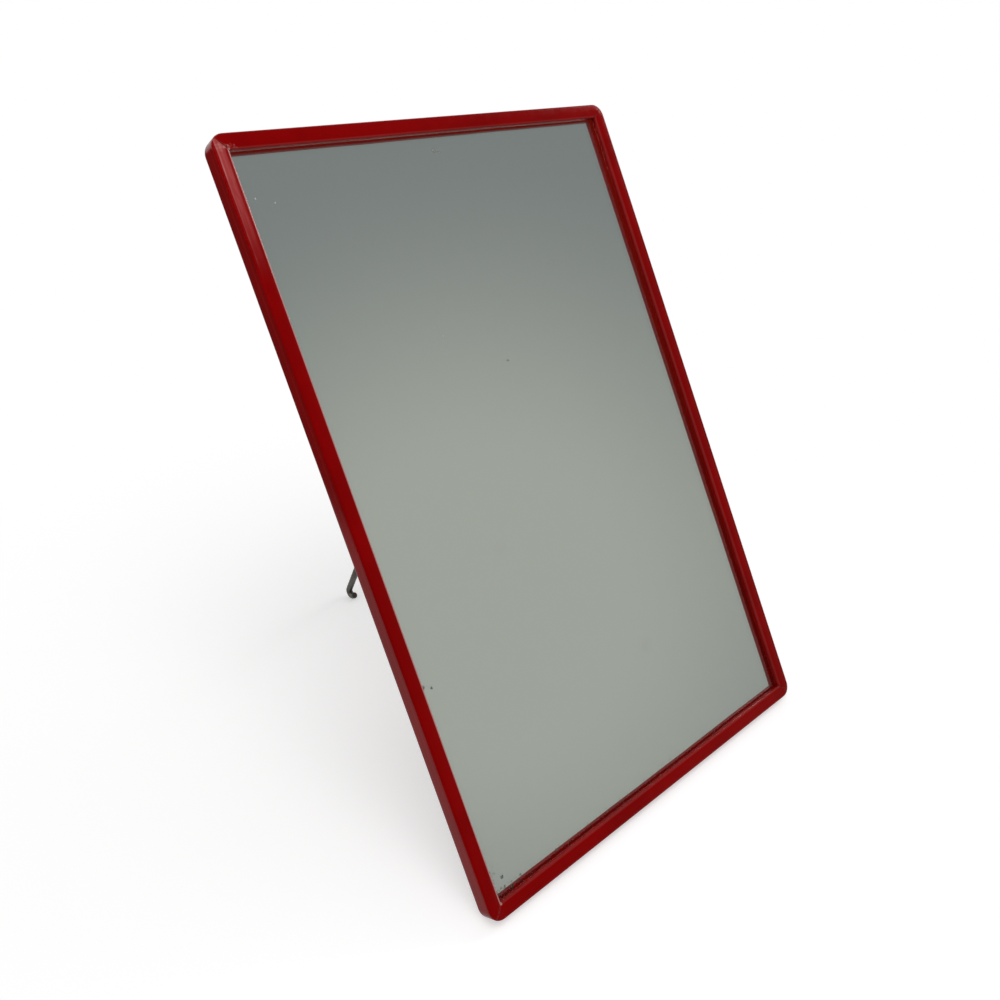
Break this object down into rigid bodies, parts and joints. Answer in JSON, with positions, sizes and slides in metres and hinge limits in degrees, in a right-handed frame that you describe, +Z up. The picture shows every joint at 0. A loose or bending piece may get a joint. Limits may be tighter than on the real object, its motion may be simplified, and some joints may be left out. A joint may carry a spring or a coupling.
{
  "type": "table mirror",
  "caption": "Rectangular table mirror in a folded plastic channel frame, leaned back on a wire stand that is hinged to its back board and folds flat.",
  "frame": {"origin": "floor level, midway between the frame's front and the stand's feet, on the mirror's centre line", "axes": "+X to the right seen from the front, +Y back towards the stand, +Z up; the mirror leans back 31 degrees"},
  "size_m": [0.2, 0.217, 0.2606],
  "materials": {
    "frame_plastic": "gloss",
    "glass": "polished",
    "silvering": "mirror",
    "backing_paint": "matte",
    "card": "matte",
    "hardboard": "satin",
    "hinge_steel": "brushed",
    "rivet_metal": "satin",
    "wire_steel": "satin"
  },
  "bodies": {
    "mirror": {"frame_channel": "frame_plastic", "mirror_glass": "glass", "silver_film": "silvering", "backing_paint": "backing_paint", "card_packing": "card", "back_board": "hardboard", "inner_plate": "hinge_steel", "hinge_plate": "hinge_steel", "hinge_saddle": "hinge_steel", "hinge_rivets": "rivet_metal"},
    "stand": {"wire_stand": "wire_steel"}
  },
  "joints": [
    {"name": "stand_hinge", "type": "hinge", "parent": "mirror", "child": "stand", "pos_m": [0, 0.01655, 0.19213], "axis": [1, 0, 0], "range_deg": [-55.2, 0]}
  ]
}
